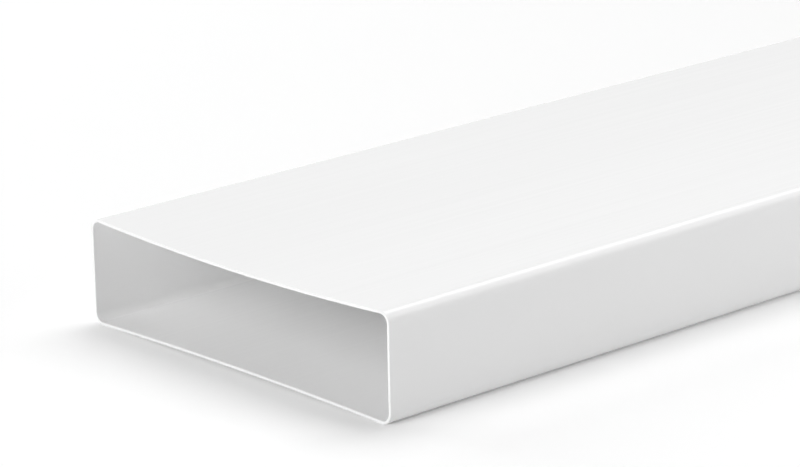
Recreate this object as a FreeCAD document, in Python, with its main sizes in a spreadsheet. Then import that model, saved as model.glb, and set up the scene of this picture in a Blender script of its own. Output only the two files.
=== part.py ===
import FreeCAD, Part
import math
import os
import Sketcher

# Flat channel duct: one length of extruded rigid PVC that carries air behind panels and above cupboards.
# The section is a wide, low, thin-walled tube. Its short sides are straight and its corners are round,
# and both wide walls are dished inwards, the top one more than the bottom one.
# X is the width, Y the length and Z is up. The origin is the bottom centre of the box round the duct,
# so the duct lies on its two lower corners at Z = 0.

NODE_NAME = "channel_duct"

# Driving dimensions in millimetres: the name of the size, its value and what it measures
DRIVING_SIZES = [
    ("outer_width", 220.0, "over the two short sides"),
    ("outer_height", 55.0, "from the floor to the crown of the upper corners"),
    ("duct_length", 1000.0, "between the two sawn ends"),
    ("wall_thickness", 1.5, "the same all round the section"),
    ("corner_radius", 6.0, "outside of the four corners"),
    ("top_dish", 3.0, "how far the middle of the top wall lies below the corners"),
    ("bottom_dish", 1.5, "how far the middle of the bottom wall lies above the floor"),
    ("edge_break", 0.3, "chamfer that deburring leaves on the sawn rims"),
]

# The points of a sketch element, as the sketch numbers them
START, END, CENTRE = range(1, 4)

# The sketch's own references: its horizontal axis, whose start is the origin, and its vertical axis
HORIZONTAL_AXIS, VERTICAL_AXIS = -1, -2


def make_size_sheet(document):
    """Put the driving dimensions in a sheet, one row each, with the size's name as its alias."""
    sheet = document.addObject("Spreadsheet::Sheet", "Sizes")
    for row, (alias, millimetres, meaning) in enumerate(DRIVING_SIZES, start=1):
        sheet.set(f"A{row}", meaning)
        sheet.set(f"B{row}", str(millimetres))
        sheet.setAlias(f"B{row}", alias)
    document.recompute()
    return sheet


def origin_plane(body, role):
    """Find one of the body's own origin planes by its role."""
    return next(plane for plane in body.Origin.OriginFeatures if plane.Role == role)


def arc(centre_x, centre_z, radius, start_degrees, end_degrees):
    """An arc in the section's plane, counter-clockwise from its start angle to its end angle."""
    centre = FreeCAD.Vector(centre_x, centre_z, 0)
    circle = Part.Circle(centre, FreeCAD.Vector(0, 0, 1), radius)
    return Part.ArcOfCircle(circle, math.radians(start_degrees), math.radians(end_degrees))


def dish_radius(half_span, corner_radius, dish):
    """Radius of the shallow arc that dips by dish between two corner arcs and is tangent to both."""
    return (half_span**2 + dish**2) / (2 * dish) - corner_radius


def draw_section(body, sheet):
    """Draw the outside of the section: two straight sides, four corners and two dished walls."""
    width, height, radius = sheet.outer_width, sheet.outer_height, sheet.corner_radius
    side = width / 2
    half_span = side - radius
    upper, lower = height - radius, radius
    top_radius = dish_radius(half_span, radius, sheet.top_dish)
    bottom_radius = dish_radius(half_span, radius, sheet.bottom_dish)
    top_centre = height - sheet.top_dish + top_radius
    bottom_centre = sheet.bottom_dish - bottom_radius
    top_lean = math.degrees(math.asin(half_span / (top_radius + radius)))
    bottom_lean = math.degrees(math.asin(half_span / (bottom_radius + radius)))

    sketch = body.newObject("Sketcher::SketchObject", "Section")
    sketch.AttachmentSupport = (origin_plane(body, "XZ_Plane"), [""])
    sketch.MapMode = "FlatFace"

    def line(x, start_z, end_z):
        start = FreeCAD.Vector(x, start_z, 0)
        end = FreeCAD.Vector(x, end_z, 0)
        return sketch.addGeometry(Part.LineSegment(start, end), False)

    def curve(*arc_values):
        return sketch.addGeometry(arc(*arc_values), False)

    def mark(z):
        return sketch.addGeometry(Part.Point(FreeCAD.Vector(0, z, 0)), True)

    # The outline runs counter-clockwise from the right side
    right_side = line(side, lower, upper)
    top_right = curve(half_span, upper, radius, 0, 90 + top_lean)
    top_wall = curve(0, top_centre, top_radius, 270 - top_lean, 270 + top_lean)
    top_left = curve(-half_span, upper, radius, 90 - top_lean, 180)
    left_side = line(-side, upper, lower)
    bottom_left = curve(-half_span, lower, radius, 180, 270 + bottom_lean)
    bottom_wall = curve(0, bottom_centre, bottom_radius, 90 - bottom_lean, 90 + bottom_lean)
    bottom_right = curve(half_span, lower, radius, 270 - bottom_lean, 360)

    # A construction point in the middle of each dished wall
    top_middle = mark(height - sheet.top_dish)
    bottom_middle = mark(sheet.bottom_dish)

    def hold(*constraint_values):
        return sketch.addConstraint(Sketcher.Constraint(*constraint_values))

    # Every corner runs smoothly into the walls on both sides of it
    hold("Tangent", right_side, END, top_right, START)
    hold("Tangent", top_right, END, top_wall, END)
    hold("Tangent", top_wall, START, top_left, START)
    hold("Tangent", top_left, END, left_side, START)
    hold("Tangent", left_side, END, bottom_left, START)
    hold("Tangent", bottom_left, END, bottom_wall, END)
    hold("Tangent", bottom_wall, START, bottom_right, START)
    hold("Tangent", bottom_right, END, right_side, START)

    # The section is the same on both sides of its middle, with equal corners
    hold("Vertical", right_side)
    hold("Vertical", left_side)
    hold("Symmetric", top_left, CENTRE, top_right, CENTRE, VERTICAL_AXIS)
    hold("Horizontal", bottom_left, CENTRE, bottom_right, CENTRE)
    for corner in (top_left, bottom_left, bottom_right):
        hold("Equal", top_right, corner)
    for middle, wall in ((top_middle, top_wall), (bottom_middle, bottom_wall)):
        hold("PointOnObject", middle, START, VERTICAL_AXIS)
        hold("PointOnObject", middle, START, wall)

    def bind(expression, *constraint_values):
        sketch.setExpression(f"Constraints[{hold(*constraint_values)}]", expression)

    def bind_above_floor(expression, element, point, z):
        bind(expression, "DistanceY", HORIZONTAL_AXIS, START, element, point, z)

    bind("Sizes.corner_radius", "Radius", top_right, radius)
    bind("Sizes.outer_width", "DistanceX", left_side, START, right_side, END, width)
    bind_above_floor("Sizes.outer_height - Sizes.corner_radius", top_right, CENTRE, upper)
    bind_above_floor("Sizes.corner_radius", bottom_right, CENTRE, lower)
    bind_above_floor("Sizes.outer_height - Sizes.top_dish", top_middle, START, height - sheet.top_dish)
    bind_above_floor("Sizes.bottom_dish", bottom_middle, START, sheet.bottom_dish)
    return sketch


def lies_at_an_end(shape, length):
    """Whether a face or an edge lies in the plane of one of the two sawn ends."""
    tolerance = 1e-4
    box = shape.BoundBox
    return box.YLength < tolerance and abs(abs(box.Center.y) - length / 2) < tolerance


def make_duct(document, sheet):
    """Extrude the section, hollow it to the wall's thickness from end to end and break the rims."""
    body = document.addObject("PartDesign::Body", "ChannelDuct")
    body.Label = NODE_NAME
    section = draw_section(body, sheet)

    extrusion = body.newObject("PartDesign::Pad", "Extrusion")
    extrusion.Profile = section
    extrusion.SideType = "Symmetric"
    extrusion.setExpression("Length", "Sizes.duct_length")
    document.recompute()

    end_faces = [
        f"Face{number}"
        for number, face in enumerate(extrusion.Shape.Faces, start=1)
        if lies_at_an_end(face, sheet.duct_length)
    ]
    airway = body.newObject("PartDesign::Thickness", "Airway")
    airway.Base = (extrusion, end_faces)
    airway.Reversed = True
    airway.setExpression("Value", "Sizes.wall_thickness")
    document.recompute()

    rims = [
        f"Edge{number}"
        for number, edge in enumerate(airway.Shape.Edges, start=1)
        if lies_at_an_end(edge, sheet.duct_length)
    ]
    broken_rims = body.newObject("PartDesign::Chamfer", "BrokenRims")
    broken_rims.Base = (airway, rims)
    broken_rims.setExpression("Size", "Sizes.edge_break")
    document.recompute()
    return body


def check_document(document, body):
    """Stop before anything is written if a feature failed or the duct isn't one sound solid."""
    for item in document.Objects:
        if "Invalid" in item.State or "Error" in item.State:
            raise RuntimeError(f"{item.Label} failed: {item.State}")
    if body.Shape.isNull() or not body.Shape.isValid():
        raise RuntimeError(f"{body.Label} has no valid shape")
    if len(body.Shape.Solids) != 1:
        raise RuntimeError(f"{body.Label} isn't one solid")


def main():
    document = FreeCAD.newDocument("flat_channel_duct")
    sheet = make_size_sheet(document)
    duct = make_duct(document, sheet)
    check_document(document, duct)
    os.makedirs("parts", exist_ok=True)
    duct.Shape.exportStep(f"parts/{duct.Label}.step")
    box = duct.Shape.BoundBox
    print(f"{duct.Label}: {box.XLength:.2f} x {box.YLength:.2f} x {box.ZLength:.2f} mm,"
          f" {duct.Shape.Volume / 1000:.1f} cm3, {len(duct.Shape.Faces)} faces")


main()
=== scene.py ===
# %% [markdown]
# # A flat channel duct in white PVC
# A flat channel duct carries air where a round pipe would not fit, such as behind a kitchen cupboard.
# It is one length of plastic, pushed through a die and sawn to length, so there is only one piece to model.
# The measured solid comes first, as a fixed frame. Everything that follows is built at its size and place.

# %% Load the measured solid
from math import asin, degrees, radians

import bpy
from mathutils import Euler, Matrix, Vector


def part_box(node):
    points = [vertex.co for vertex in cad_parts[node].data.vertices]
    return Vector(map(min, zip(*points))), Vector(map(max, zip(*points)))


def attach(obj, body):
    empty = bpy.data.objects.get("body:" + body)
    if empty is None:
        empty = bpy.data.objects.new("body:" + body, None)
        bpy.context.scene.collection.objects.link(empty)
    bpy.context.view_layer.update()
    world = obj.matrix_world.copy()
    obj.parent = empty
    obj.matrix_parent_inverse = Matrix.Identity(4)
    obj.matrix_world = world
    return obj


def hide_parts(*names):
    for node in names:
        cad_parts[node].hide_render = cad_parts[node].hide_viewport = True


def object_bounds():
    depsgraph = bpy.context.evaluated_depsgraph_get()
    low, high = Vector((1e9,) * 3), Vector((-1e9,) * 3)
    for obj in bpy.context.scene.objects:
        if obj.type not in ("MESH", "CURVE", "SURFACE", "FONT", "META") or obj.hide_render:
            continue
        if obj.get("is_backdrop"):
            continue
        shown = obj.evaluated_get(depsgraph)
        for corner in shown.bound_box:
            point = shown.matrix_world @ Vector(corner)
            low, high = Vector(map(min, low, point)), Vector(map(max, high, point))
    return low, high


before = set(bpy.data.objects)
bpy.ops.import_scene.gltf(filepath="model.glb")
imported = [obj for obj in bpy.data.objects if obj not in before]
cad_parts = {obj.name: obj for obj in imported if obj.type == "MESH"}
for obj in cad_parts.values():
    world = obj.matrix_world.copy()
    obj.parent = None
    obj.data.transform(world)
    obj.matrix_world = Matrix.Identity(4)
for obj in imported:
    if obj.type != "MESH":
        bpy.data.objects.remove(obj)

MM = 0.001
frame_low, frame_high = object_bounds()
duct_low, duct_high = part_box("channel_duct")
outer_width, duct_length, outer_height = duct_high - duct_low
print(f"duct: {outer_width / MM:.1f} x {duct_length / MM:.1f} x {outer_height / MM:.1f} mm")

# %% [markdown]
# ## The section
# The die gives the duct its section: straight short sides, round corners and two wide walls that sink in
# a little as the hot plastic cools, the top wall more than the bottom one.
# The section could be a bevelled rectangle, but then the shallow dish would not run smoothly into the
# corners. Here one point travels round the outline instead. It is extruded along the straight stretches and
# spun round the centre of each arc, so every stretch meets the next one without a kink.

# %% Sizes of the section
wall_thickness = 1.5 * MM
corner_radius = 6.0 * MM
top_dish = 3.0 * MM
bottom_dish = 1.5 * MM

side_x = outer_width / 2
corner_x = side_x - corner_radius
front_y = duct_low.y
upper_z = duct_high.z - corner_radius
lower_z = duct_low.z + corner_radius


def dish_arc(dish):
    """Radius of a wall that sinks by dish between two corners, and the angle that it turns on each side."""
    reach = (corner_x**2 + dish**2) / (2 * dish)
    return reach - corner_radius, asin(corner_x / reach)


top_radius, top_lean = dish_arc(top_dish)
bottom_radius, bottom_lean = dish_arc(bottom_dish)
print(f"top wall: radius {top_radius:.2f} m, {degrees(top_lean):.2f} degrees each side")
print(f"bottom wall: radius {bottom_radius:.2f} m, {degrees(bottom_lean):.2f} degrees each side")


# %% Draw the section with one travelling point
CORNER_STEPS = 20
WALL_STEPS = 60
SIDE_STEPS = 10
closing_gap = 0.01 * MM


def begin_outline(name, place):
    """Add a small plane at a place and merge it to one point, which is left selected in edit mode."""
    bpy.ops.object.select_all(action="DESELECT")
    bpy.ops.mesh.primitive_plane_add(size=MM, location=place)
    piece = bpy.context.object
    piece.name = name
    piece.data.name = name
    bpy.ops.object.transform_apply(location=True, rotation=True, scale=True)
    bpy.ops.object.mode_set(mode="EDIT")
    bpy.ops.mesh.select_mode(type="VERT")
    bpy.ops.mesh.select_all(action="SELECT")
    bpy.ops.mesh.merge(type="CENTER")
    return piece


def go_straight(rise):
    """Carry the point straight up or down, in equal steps."""
    for _ in range(SIDE_STEPS):
        bpy.ops.mesh.extrude_region_move(TRANSFORM_OT_translate={"value": (0, 0, rise / SIDE_STEPS)})


def go_round(centre_x, centre_z, turn, steps):
    """Carry the point round a centre, counter-clockwise as the photographed end shows it."""
    bpy.ops.mesh.spin(steps=steps, angle=turn, center=(centre_x, front_y, centre_z), axis=(0, 1, 0))


duct = begin_outline("duct_body", (side_x, front_y, lower_z))
go_straight(upper_z - lower_z)
go_round(corner_x, upper_z, radians(90) + top_lean, CORNER_STEPS)
go_round(0, duct_high.z - top_dish + top_radius, -2 * top_lean, WALL_STEPS)
go_round(-corner_x, upper_z, radians(90) + top_lean, CORNER_STEPS)
go_straight(lower_z - upper_z)
go_round(-corner_x, lower_z, radians(90) + bottom_lean, CORNER_STEPS)
go_round(0, duct_low.z + bottom_dish - bottom_radius, -2 * bottom_lean, WALL_STEPS)
go_round(corner_x, lower_z, radians(90) + bottom_lean, CORNER_STEPS)
bpy.ops.mesh.select_all(action="SELECT")
bpy.ops.mesh.remove_doubles(threshold=closing_gap)
bpy.ops.object.mode_set(mode="OBJECT")
print(f"section: {len(duct.data.vertices)} points, {len(duct.data.edges)} edges")

# %% [markdown]
# ## From section to duct
# A real duct leaves the die as an endless tube and is sawn to length.
# The outline is extruded the same way, in short lengths so that no face gets long and thin.
# Solidify then gives the skin its wall, inwards, because the outside is what was measured.

# %% Extrude the outline
LENGTH_STEPS = 40

bpy.ops.object.mode_set(mode="EDIT")
bpy.ops.mesh.select_all(action="SELECT")
for _ in range(LENGTH_STEPS):
    bpy.ops.mesh.extrude_region_move(TRANSFORM_OT_translate={"value": (0, duct_length / LENGTH_STEPS, 0)})
bpy.ops.mesh.select_all(action="SELECT")
bpy.ops.mesh.normals_make_consistent(inside=False)
bpy.ops.object.mode_set(mode="OBJECT")
print(f"skin: {len(duct.data.polygons)} faces")


# %% Give the skin its wall
def apply_modifier(piece, kind, **settings):
    """Add one modifier to a piece, set it up and apply it."""
    bpy.context.view_layer.objects.active = piece
    bpy.ops.object.modifier_add(type=kind)
    modifier = piece.modifiers[-1]
    for name, value in settings.items():
        setattr(modifier, name, value)
    bpy.ops.object.modifier_apply(modifier=modifier.name)


apply_modifier(duct, "SOLIDIFY", thickness=wall_thickness, offset=-1, use_even_offset=True)
print(f"tube with a wall of {wall_thickness / MM} mm: {len(duct.data.polygons)} faces")

# %% [markdown]
# ## The sawn ends
# A saw leaves a sharp rim with burrs, and a quick scrape with a knife breaks it.
# The rims are the only sharp edges of the tube, so they can be selected by their angle.
# A small bevel in a few steps rounds them, and it is what catches the light as a thin bright line.
# Weighted normals keep the large walls flat right up to that bevel.

# %% Break the rims
edge_break = 0.3 * MM
RIM_STEPS = 3
SHARP_ANGLE = radians(60)
SMOOTH_ANGLE = radians(50)
LARGE_FACES_FIRST = 100

bpy.ops.object.mode_set(mode="EDIT")
bpy.ops.mesh.select_mode(type="EDGE")
bpy.ops.mesh.select_all(action="DESELECT")
bpy.ops.mesh.edges_select_sharp(sharpness=SHARP_ANGLE)
bpy.ops.mesh.bevel(offset=edge_break, offset_type="OFFSET", segments=RIM_STEPS, affect="EDGES")
bpy.ops.object.mode_set(mode="OBJECT")
bpy.ops.object.shade_smooth_by_angle(angle=SMOOTH_ANGLE)
apply_modifier(duct, "WEIGHTED_NORMAL", keep_sharp=True, weight=LARGE_FACES_FIRST)
triangles = sum(len(face.vertices) - 2 for face in duct.data.polygons)
print(f"duct with broken rims: {triangles} triangles")

# %% [markdown]
# ## The finish of the walls
# Rigid PVC comes off the line white and glossy. Close up it isn't perfectly even: the die leaves faint
# lines along the length, the walls wave a little where they cooled, and the white drifts by a hair.
# Each of these is a noise on the duct's own coordinates, stretched along its length. A picture of plastic
# could show them too, but it would blur or repeat on so long a wall.
# A thin white wall also lets some daylight through, which lifts the inside of the real duct.
# An opaque material can't do that, so that light is painted in: the inside gets a slightly lighter white
# than the outside.


# %% A material and its nodes
def new_material(name):
    """A material with an empty node tree but for its Principled shader and output."""
    material = bpy.data.materials.new(name)
    material.use_nodes = True
    tree = material.node_tree
    return material, tree, tree.nodes["Principled BSDF"]


def add_node(tree, kind, **inputs):
    """Add a node and set its inputs by name, with spaces written as underscores."""
    node = tree.nodes.new(kind)
    for name, value in inputs.items():
        node.inputs[name.replace("_", " ")].default_value = value
    return node


# %% Noise that is drawn out along an axis
def stretched_noise(tree, per_metre, squeeze, detail):
    """A noise on the object's own coordinates, so many specks to a metre, times a factor on each axis.
    A factor below 1 draws the specks out along that axis."""
    place = add_node(tree, "ShaderNodeTexCoord")
    mapping = add_node(tree, "ShaderNodeMapping", Scale=squeeze)
    noise = add_node(tree, "ShaderNodeTexNoise", Scale=per_metre, Detail=detail)
    tree.links.new(place.outputs["Object"], mapping.inputs["Vector"])
    tree.links.new(mapping.outputs["Vector"], noise.inputs["Vector"])
    return noise.outputs["Fac"]


# Most values of a noise lie between these two
NOISE_LOW, NOISE_HIGH = 0.3, 0.7


def spread(tree, noise, low, high):
    """Turn a noise into a value between low and high."""
    node = add_node(
        tree, "ShaderNodeMapRange", From_Min=NOISE_LOW, From_Max=NOISE_HIGH, To_Min=low, To_Max=high
    )
    tree.links.new(noise, node.inputs["Value"])
    return node.outputs["Result"]


# %% Colour and relief from a noise
def mix_greys(tree, share, first, second):
    """Go from a first shade of grey to a second one as the share goes from 0 to 1."""
    node = tree.nodes.new("ShaderNodeMix")
    node.data_type = "RGBA"
    node.inputs["A"].default_value = (first, first, first, 1)
    node.inputs["B"].default_value = (second, second, second, 1)
    tree.links.new(share, node.inputs["Factor"])
    return node.outputs["Result"]


def relief(tree, noise, depth, under=None):
    """Raise the surface by a noise of a given depth in metres, on top of another relief."""
    node = add_node(tree, "ShaderNodeBump", Strength=1, Distance=depth)
    tree.links.new(noise, node.inputs["Height"])
    if under is not None:
        tree.links.new(under, node.inputs["Normal"])
    return node.outputs["Normal"]


# %% White PVC with die lines
PVC_IOR = 1.53
outside_shade = 0.87
# The inside's lighter white is painted light, standing in for daylight that comes through the thin wall
inside_shade_with_painted_light = 0.94
shade_drift = 0.01
glossiest, dullest = 0.2, 0.27
wave_depth = 0.02 * MM
die_line_depth = 0.001 * MM


def make_white_pvc(name, shade):
    """Glossy white plastic about as light as a shade of grey, with waves and die lines along its length."""
    material, tree, shader = new_material(name)
    clouds = stretched_noise(tree, per_metre=9, squeeze=(1, 0.3, 1), detail=2)
    waves = stretched_noise(tree, per_metre=16, squeeze=(1, 0.4, 1), detail=1)
    die_lines = stretched_noise(tree, per_metre=420, squeeze=(1, 0.01, 1), detail=3)
    colour = mix_greys(tree, spread(tree, clouds, 0, 1), shade - shade_drift, shade + shade_drift)
    tree.links.new(colour, shader.inputs["Base Color"])
    tree.links.new(spread(tree, die_lines, glossiest, dullest), shader.inputs["Roughness"])
    wavy_wall = relief(tree, waves, wave_depth)
    tree.links.new(relief(tree, die_lines, die_line_depth, wavy_wall), shader.inputs["Normal"])
    shader.inputs["IOR"].default_value = PVC_IOR
    return material


outside_pvc = make_white_pvc("glossy_white_pvc", outside_shade)
# The inside is the same plastic with painted light: a lighter white for the daylight through the wall
inside_pvc_with_painted_light = make_white_pvc("inner_pvc_with_painted_light", inside_shade_with_painted_light)
print(f"{outside_pvc.name} and {inside_pvc_with_painted_light.name}: {len(outside_pvc.node_tree.nodes)} nodes each")

# %% [markdown]
# ## The finish of the sawn rims
# Where the saw went through, the plastic is matt and a little duller than the skin, with fine marks.
# The marks of the teeth could be cut into the mesh, but they are finer than a hair. A noise that is drawn
# out along the cut gives the same broken gloss without any more faces.

# %% Sawn PVC with tooth marks
sawn_shade = 0.82
sawn_drift = 0.02
smoothest_cut, roughest_cut = 0.45, 0.6
tooth_mark_depth = 0.02 * MM


def make_sawn_pvc(name, shade):
    """Matt white plastic with the fine marks of a saw blade across it."""
    material, tree, shader = new_material(name)
    tooth_marks = stretched_noise(tree, per_metre=2600, squeeze=(1, 1, 0.15), detail=2)
    colour = mix_greys(tree, spread(tree, tooth_marks, 0, 1), shade - sawn_drift, shade + sawn_drift)
    tree.links.new(colour, shader.inputs["Base Color"])
    tree.links.new(spread(tree, tooth_marks, smoothest_cut, roughest_cut), shader.inputs["Roughness"])
    tree.links.new(relief(tree, tooth_marks, tooth_mark_depth), shader.inputs["Normal"])
    shader.inputs["IOR"].default_value = PVC_IOR
    return material


sawn_pvc = make_sawn_pvc("sawn_white_pvc", sawn_shade)
print(f"{sawn_pvc.name}: {len(sawn_pvc.node_tree.nodes)} nodes")

# %% [markdown]
# ## Which face is which
# The three finishes belong to the outside, the inside and the sawn rims of one tube.
# The faces could be picked by hand, but each one already says where it belongs by the way it points:
# a rim faces along the duct, and a face of the inside looks back at the middle of the section.

# %% Share out the materials
OUTSIDE, INSIDE, RIM = range(3)
# A face belongs to a rim if its normal leans more than this along the duct, where 1 is straight along it
RIM_LEAN = 0.2
middle_of_section = Vector((0, 0, (duct_low.z + duct_high.z) / 2))


def material_slot(face):
    """Which of the three materials a face gets, from the way it points."""
    if abs(face.normal.y) > RIM_LEAN:
        return RIM
    outwards = face.center - middle_of_section
    outwards.y = 0
    return OUTSIDE if face.normal.dot(outwards) > 0 else INSIDE


duct.data.materials.clear()
for material in (outside_pvc, inside_pvc_with_painted_light, sawn_pvc):
    duct.data.materials.append(material)
face_counts = [0, 0, 0]
for face in duct.data.polygons:
    face.material_index = material_slot(face)
    face_counts[face.material_index] += 1
print(f"faces outside, inside and on the rims: {face_counts}")

# %% [markdown]
# ## Back to the measured solid
# The mesh now has the size and place of the measured solid, so it can stand in for it.
# A length of duct has no moving parts, so it rides on the root of the frame and stays where it was built.

# %% Tie the duct to the measured solid
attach(duct, "root")
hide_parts("channel_duct")
print(f"{duct.name} stands in for channel_duct")

# %% [markdown]
# ## The floor
# The duct lies on a white floor without an edge, as in a catalogue picture.
# Round the duct the floor is matt paper that takes its shadow. To the camera, and in reflections, it is a
# shade paler than to the light that bounces off it, so it reads as white without more light on the duct.
# Well away from the duct the paper fades to an even white, as a studio's curved backdrop does.
# A small bent backdrop would do for one picture, but this floor has no back, so it works from every side.

# %% White floor
FLOOR_SIZE = 24.0

bpy.ops.object.select_all(action="DESELECT")
bpy.ops.mesh.primitive_plane_add(size=FLOOR_SIZE, location=(0, 0, duct_low.z))
floor = bpy.context.object
floor.name = "floor"
floor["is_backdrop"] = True
print(f"floor: {FLOOR_SIZE} m square")


# %% Where the floor is plain white
def calculate(tree, operation, first, second):
    """Work out one number from two others."""
    node = tree.nodes.new("ShaderNodeMath")
    node.operation = operation
    tree.links.new(first, node.inputs[0])
    tree.links.new(second, node.inputs[1])
    return node.outputs["Value"]


def seen_directly(tree):
    """1 for rays from the camera, a glossy surface or clear plastic, and 0 for light on its way."""
    path = add_node(tree, "ShaderNodeLightPath")
    by_gloss = calculate(tree, "MAXIMUM", path.outputs["Is Camera Ray"], path.outputs["Is Glossy Ray"])
    return calculate(tree, "MAXIMUM", by_gloss, path.outputs["Is Transmission Ray"])


# The floor starts to fade at this share of the way out
FADE_START = 0.5


def far_from_duct(tree, beside, beyond):
    """0 round the duct and 1 from a distance beside its middle or its ends outwards, with a soft step."""
    place = add_node(tree, "ShaderNodeTexCoord")
    mapping = add_node(tree, "ShaderNodeMapping", Scale=(1 / beside, 1 / beyond, 1))
    distance = tree.nodes.new("ShaderNodeVectorMath")
    distance.operation = "LENGTH"
    step = add_node(tree, "ShaderNodeMapRange", From_Min=FADE_START, From_Max=1)
    step.interpolation_type = "SMOOTHSTEP"
    tree.links.new(place.outputs["Object"], mapping.inputs["Vector"])
    tree.links.new(mapping.outputs["Vector"], distance.inputs[0])
    tree.links.new(distance.outputs["Value"], step.inputs["Value"])
    return step.outputs["Result"]


# %% Floor paper
paper_white = 1.0
paper_grey = 0.9

floor_paper, floor_tree, floor_shader = new_material("floor_paper")
to_the_eye = seen_directly(floor_tree)
paper_colour = mix_greys(floor_tree, to_the_eye, paper_grey, paper_white)
floor_tree.links.new(paper_colour, floor_shader.inputs["Base Color"])
floor_shader.inputs["Roughness"].default_value = 1
floor_shader.inputs["Specular IOR Level"].default_value = 0
floor.data.materials.append(floor_paper)
print(f"{floor_paper.name}: {paper_white} to the eye, {paper_grey} to the light that bounces off it")

# %% Fade the paper to even white
even_white = add_node(floor_tree, "ShaderNodeEmission", Color=(1, 1, 1, 1), Strength=1)
far_away = far_from_duct(floor_tree, beside=0.9, beyond=1.3)
backdrop = calculate(floor_tree, "MULTIPLY", to_the_eye, far_away)
fade = floor_tree.nodes.new("ShaderNodeMixShader")
floor_tree.links.new(backdrop, fade.inputs["Fac"])
floor_tree.links.new(floor_shader.outputs["BSDF"], fade.inputs[1])
floor_tree.links.new(even_white.outputs["Emission"], fade.inputs[2])
floor_tree.links.new(fade.outputs["Shader"], floor_tree.nodes["Material Output"].inputs["Surface"])
floor_paper.cycles.emission_sampling = "NONE"
print(f"{floor_paper.name}: {len(floor_tree.nodes)} nodes")

# %% [markdown]
# ## The room
# The duct stands in a studio with white walls. The walls look white to the camera and in the gloss of the
# plastic, but they add only a little even light of their own, so that the soft lights can shape the duct.
# Light bounces many times inside a white tube, so more bounces than usual are followed, or the inside
# would come out too dark.

# %% Even room light
room_strength = 0.1
TUBE_BOUNCES = 12

world = bpy.data.worlds.new("white_room")
bpy.context.scene.world = world
world.use_nodes = True
room = world.node_tree
background = room.nodes["Background"]
background.inputs["Color"].default_value = (1, 1, 1, 1)
level = add_node(room, "ShaderNodeMapRange", To_Min=room_strength, To_Max=1)
room.links.new(seen_directly(room), level.inputs["Value"])
room.links.new(level.outputs["Result"], background.inputs["Strength"])
bpy.context.scene.cycles.diffuse_bounces = TUBE_BOUNCES
print(f"room light: {room_strength}, bounces followed: {TUBE_BOUNCES}")

# %% [markdown]
# ## The soft lights
# Two soft lights in front shine into the open end, a low one for its walls and a high one for its floor.
# A large one above and behind makes the top the brightest side, a small one on the right lifts the short
# side, and one on the left softens the shadows. None of these five shows in the gloss, so the flat walls
# stay free of bright patches from every side.
# Two more, far behind, are only there to be mirrored in the rounded edge, like a photographer's bright
# cards. The first draws the thin highlight, and the second the broad, softer band below it.
# Small, hard lights would be simpler, but they draw sharp shadows and hot spots on glossy plastic.

# %% Soft lights
behind_the_mouth = 0.2
lit_point = Vector((0, front_y + behind_the_mouth, outer_height / 2))


def add_softbox(name, azimuth, elevation, distance, size, watts, mirror_only=False):
    """A square soft light that faces the near part of the duct and stays out of the camera's sight.
    Azimuth 0 is in front of the open end, and 90 degrees to the right of it.
    A light either shines on surfaces or, if it is for mirroring only, shows in their gloss."""
    turn = Euler((radians(90 - elevation), 0, radians(azimuth)))
    place = lit_point + turn.to_matrix() @ Vector((0, 0, distance))
    bpy.ops.object.light_add(type="AREA", location=place, rotation=turn)
    softbox = bpy.context.object
    softbox.name = name
    softbox.data.size = size
    softbox.data.energy = watts
    softbox.visible_camera = False
    softbox.visible_diffuse = not mirror_only
    softbox.visible_glossy = mirror_only
    print(f"{name}: {size} m square, {watts} W, at {tuple(round(x, 2) for x in place)}")


add_softbox("low_front_softbox", azimuth=10, elevation=14, distance=3.0, size=1.6, watts=45)
add_softbox("high_front_softbox", azimuth=0, elevation=30, distance=3.0, size=1.6, watts=22)
add_softbox("top_softbox", azimuth=202, elevation=63, distance=5.0, size=4.0, watts=151)
add_softbox("right_softbox", azimuth=114, elevation=20, distance=1.06, size=0.7, watts=3.0)
add_softbox("left_softbox", azimuth=270, elevation=25, distance=3.0, size=2.4, watts=35)
add_softbox("highlight_card", azimuth=193, elevation=50, distance=6.0, size=2.6, watts=60, mirror_only=True)
add_softbox("band_card", azimuth=148, elevation=39, distance=6.0, size=3.0, watts=40, mirror_only=True)

# %% [markdown]
# ## The camera
# The photograph was taken with a long lens from the front right, a little above the duct.
# The camera is described as a photographer would: which way it looks, how far it stands from the foot of
# the open end, and how far the picture is framed to the right of that point and above it.

# %% Place the camera
PICTURE_WIDTH = 800
SENSOR_WIDTH = 36.0
focal_length_pixels = 3749
camera_azimuth = radians(47.88)
camera_elevation = radians(16.767)
camera_roll = radians(-1.064)
camera_distance = 1.7986
framed_right = 0.0784
framed_above = 0.0668

turn = Euler((radians(90) - camera_elevation, 0, camera_azimuth)).to_matrix()
turn = turn @ Matrix.Rotation(camera_roll, 3, "Z")
mouth_foot = Vector((0, front_y, duct_low.z))
camera_place = mouth_foot + turn @ Vector((framed_right, framed_above, camera_distance))
bpy.ops.object.camera_add(location=camera_place, rotation=turn.to_euler())
camera = bpy.context.object
camera.name = "photo_camera"
camera.data.sensor_width = SENSOR_WIDTH
camera.data.lens = focal_length_pixels / PICTURE_WIDTH * SENSOR_WIDTH
bpy.context.scene.camera = camera
bpy.context.scene.view_settings.view_transform = "Standard"
print(f"camera: {camera.data.lens:.1f} mm lens at {tuple(round(x, 3) for x in camera_place)}")

# %% [markdown]
# ## Does it still fit?
# A part from a library has to have the size that it promises, also once it is dressed.
# The largest step of the finished duct outside the box round the measured solid is printed, so that any
# difference shows.

# %% Compare the sizes
final_low, final_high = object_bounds()
outside_box = max(*(frame_low - final_low), *(final_high - frame_high))
print(f"largest step outside the measured box: {outside_box / MM:.3f} mm")
